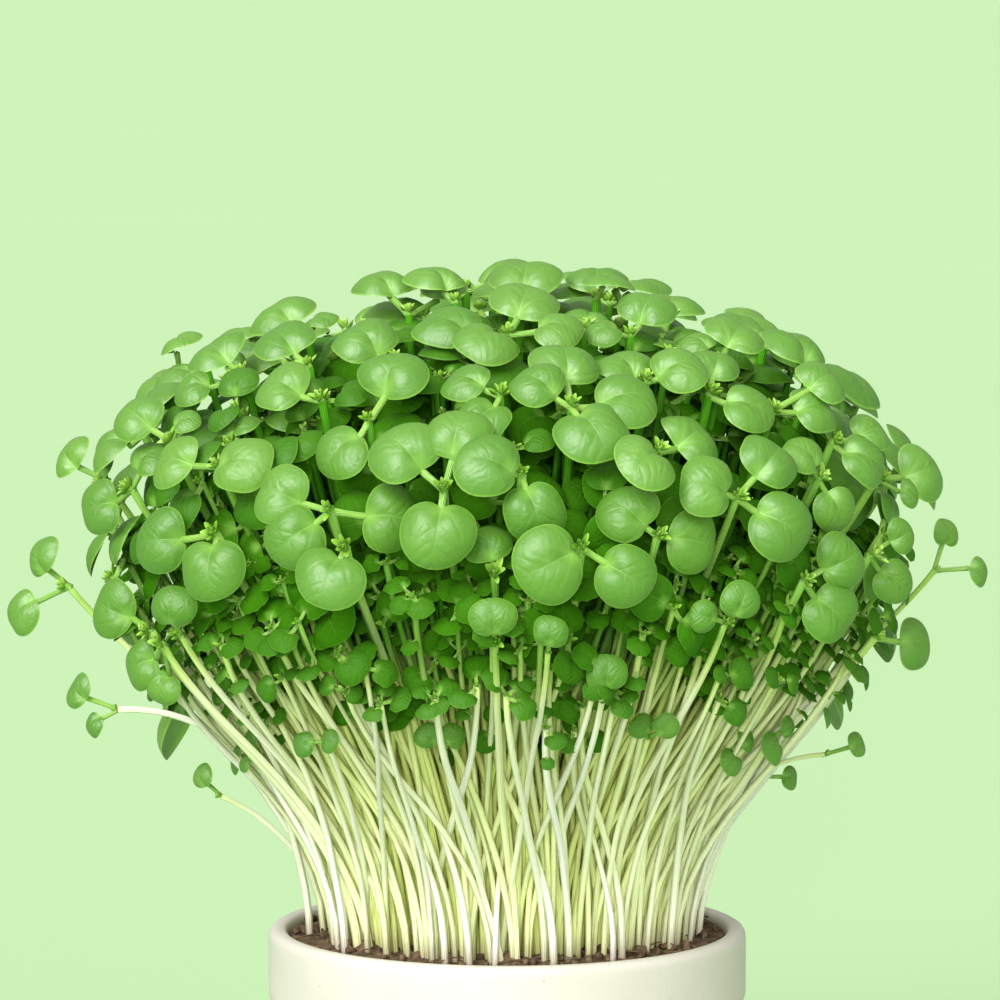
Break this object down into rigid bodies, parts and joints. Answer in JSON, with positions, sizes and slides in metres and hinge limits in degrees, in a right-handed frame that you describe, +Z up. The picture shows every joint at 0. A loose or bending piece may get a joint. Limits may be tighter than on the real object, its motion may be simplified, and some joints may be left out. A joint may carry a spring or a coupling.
{
  "type": "potted basil microgreens",
  "caption": "Dense clump of young basil seedlings with round leaves on pale bent stems, fanning out over a small plain round pot of soil.",
  "frame": {"origin": "middle of the pot's flat underside", "axes": "+Z up along the pot's axis, the pictured front of the clump faces -Y, +X is to the right of the picture"},
  "size_m": [0.1218, 0.1049, 0.1319],
  "materials": {
    "pot": "matte, unglazed, off-white",
    "soil": "matte crumbs of coconut fibre and peat",
    "basil": "satin fresh leaf"
  },
  "bodies": {
    "root": {"basil_tuft_01": "basil", "basil_tuft_02": "basil", "basil_tuft_03": "basil", "basil_tuft_04": "basil", "basil_tuft_05": "basil", "basil_tuft_06": "basil", "basil_tuft_07": "basil", "basil_tuft_08": "basil", "basil_tuft_09": "basil", "basil_tuft_10": "basil", "basil_tuft_11": "basil", "basil_tuft_12": "basil", "basil_tuft_13": "basil", "basil_tuft_14": "basil", "basil_tuft_15": "basil", "basil_tuft_16": "basil", "basil_tuft_17": "basil", "basil_tuft_18": "basil", "basil_tuft_19": "basil", "basil_tuft_20": "basil", "basil_tuft_21": "basil", "basil_tuft_22": "basil", "basil_tuft_23": "basil", "basil_tuft_24": "basil", "basil_tuft_25": "basil", "basil_tuft_26": "basil", "basil_tuft_27": "basil", "basil_tuft_28": "basil", "basil_tuft_29": "basil", "basil_tuft_30": "basil", "basil_tuft_31": "basil", "basil_tuft_32": "basil", "basil_tuft_33": "basil", "basil_tuft_34": "basil", "basil_tuft_35": "basil", "basil_tuft_36": "basil", "basil_tuft_37": "basil", "pot": "pot", "soil": "soil"}
  },
  "joints": []
}
